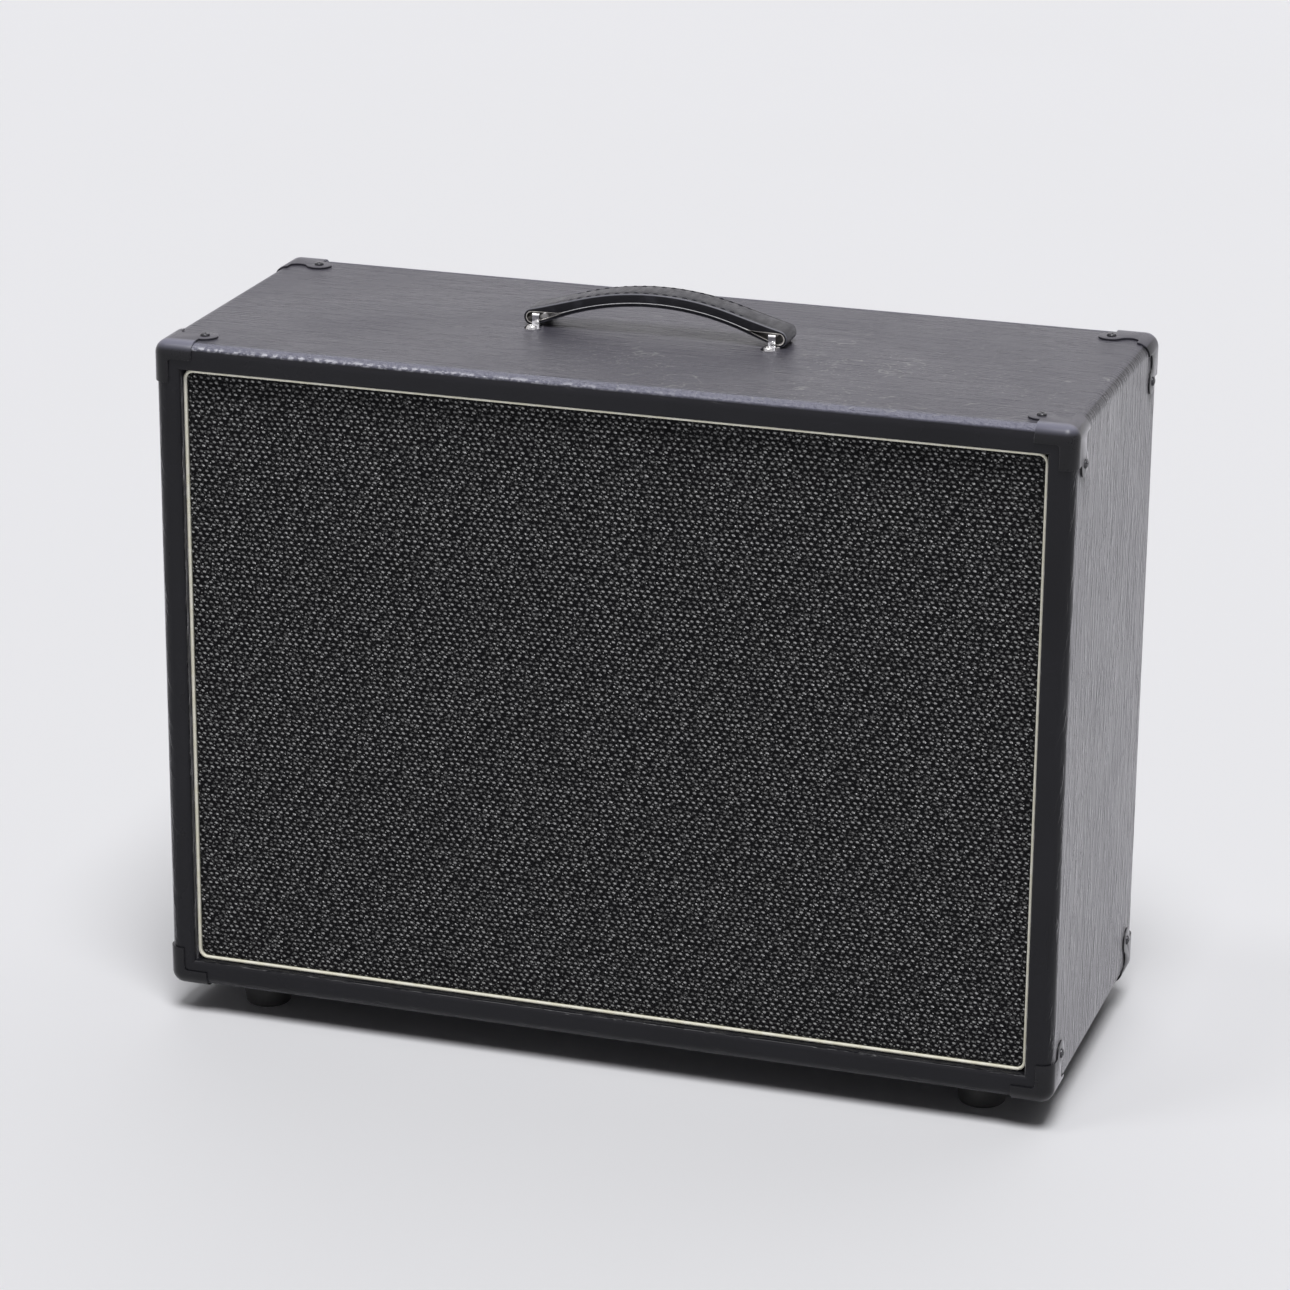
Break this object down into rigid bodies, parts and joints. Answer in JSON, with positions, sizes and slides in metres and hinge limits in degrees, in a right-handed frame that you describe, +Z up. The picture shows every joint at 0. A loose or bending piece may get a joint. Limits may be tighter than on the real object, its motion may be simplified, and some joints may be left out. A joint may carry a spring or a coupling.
{
  "type": "guitar speaker cabinet",
  "caption": "Closed-back guitar speaker cabinet in black vinyl with a flecked grille cloth, pale piping, corner protectors, rubber feet and a strap handle on top.",
  "frame": {"origin": "on the floor under the middle of the cabinet, level with the undersides of the feet", "axes": "+X to the right seen from the front, +Y to the back, +Z up; the grille faces -Y"},
  "size_m": [0.7068, 0.28, 0.573],
  "materials": {
    "vinyl": "black leather-grain vinyl with a soft sheen",
    "timber": "plywood, hidden inside",
    "rear_board": "board with black textured paint",
    "grille": "black weave with pale flecks",
    "piping": "pale cream cord",
    "corner_plastic": "black moulded plastic",
    "rubber": "black rubber",
    "screw_dark": "blackened steel",
    "screw_bright": "nickel plated steel",
    "strap": "black stitched strap",
    "spring_steel": "plated spring steel",
    "chrome": "polished chrome",
    "socket_plastic": "black moulded plastic",
    "plate_black": "black powder coat",
    "basket": "grey painted pressed steel",
    "cork": "cork and rubber gasket",
    "paper": "black pressed paper",
    "doped_cloth": "resin treated cloth",
    "copper": "copper wire on a paper former",
    "motor_steel": "zinc plated steel",
    "ferrite": "sintered ferrite"
  },
  "bodies": {
    "cabinet": {"baffle_board": "timber", "bottom_panel": "timber", "corner_front_bottom_left": "corner_plastic", "corner_front_bottom_right": "corner_plastic", "corner_front_top_left": "corner_plastic", "corner_front_top_right": "corner_plastic", "corner_rear_bottom_left": "corner_plastic", "corner_rear_bottom_right": "corner_plastic", "corner_rear_top_left": "corner_plastic", "corner_rear_top_right": "corner_plastic", "corner_screws": "screw_dark", "foot_front_left": "rubber", "foot_front_right": "rubber", "foot_rear_left": "rubber", "foot_rear_right": "rubber", "foot_screws": "screw_bright", "front_battens": "timber", "grille_cloth": "grille", "grille_frame": "timber", "grille_piping": "piping", "handle_bracket_left": "chrome", "handle_bracket_right": "chrome", "handle_screws": "screw_bright", "jack_nuts": "chrome", "jack_plate": "plate_black", "jack_plate_screws": "screw_dark", "jack_socket_left": "socket_plastic", "jack_socket_right": "socket_plastic", "left_side_panel": "timber", "left_speaker_basket": "basket", "left_speaker_gasket": "cork", "left_speaker_magnet": "ferrite", "left_speaker_spider": "doped_cloth", "left_speaker_surround": "doped_cloth", "left_speaker_top_plate": "motor_steel", "left_speaker_yoke": "motor_steel", "rear_battens": "timber", "rear_panel": "rear_board", "rear_panel_screws": "screw_dark", "right_side_panel": "timber", "right_speaker_basket": "basket", "right_speaker_gasket": "cork", "right_speaker_magnet": "ferrite", "right_speaker_spider": "doped_cloth", "right_speaker_surround": "doped_cloth", "right_speaker_top_plate": "motor_steel", "right_speaker_yoke": "motor_steel", "speaker_screws": "screw_bright", "speaker_terminals": "socket_plastic", "top_panel": "timber", "vinyl_covering": "vinyl"},
    "handle": {"handle_strap": "strap", "handle_core": "spring_steel"},
    "left_cone": {"left_speaker_cone": "paper", "left_speaker_dust_cap": "paper", "left_speaker_voice_coil": "copper"},
    "right_cone": {"right_speaker_cone": "paper", "right_speaker_dust_cap": "paper", "right_speaker_voice_coil": "copper"}
  },
  "joints": [
    {"name": "handle_lift", "type": "slide", "parent": "cabinet", "child": "handle", "axis": [0, 0, 1], "range_m": [0, 0.0022]},
    {"name": "left_cone_travel", "type": "slide", "parent": "cabinet", "child": "left_cone", "axis": [0, -1, 0], "range_m": [-0.003, 0.003], "stiffness_N_per_m": 6000, "deforming": ["left_speaker_surround", "left_speaker_spider"]},
    {"name": "right_cone_travel", "type": "slide", "parent": "cabinet", "child": "right_cone", "axis": [0, -1, 0], "range_m": [-0.003, 0.003], "stiffness_N_per_m": 6000, "deforming": ["right_speaker_surround", "right_speaker_spider"]}
  ]
}
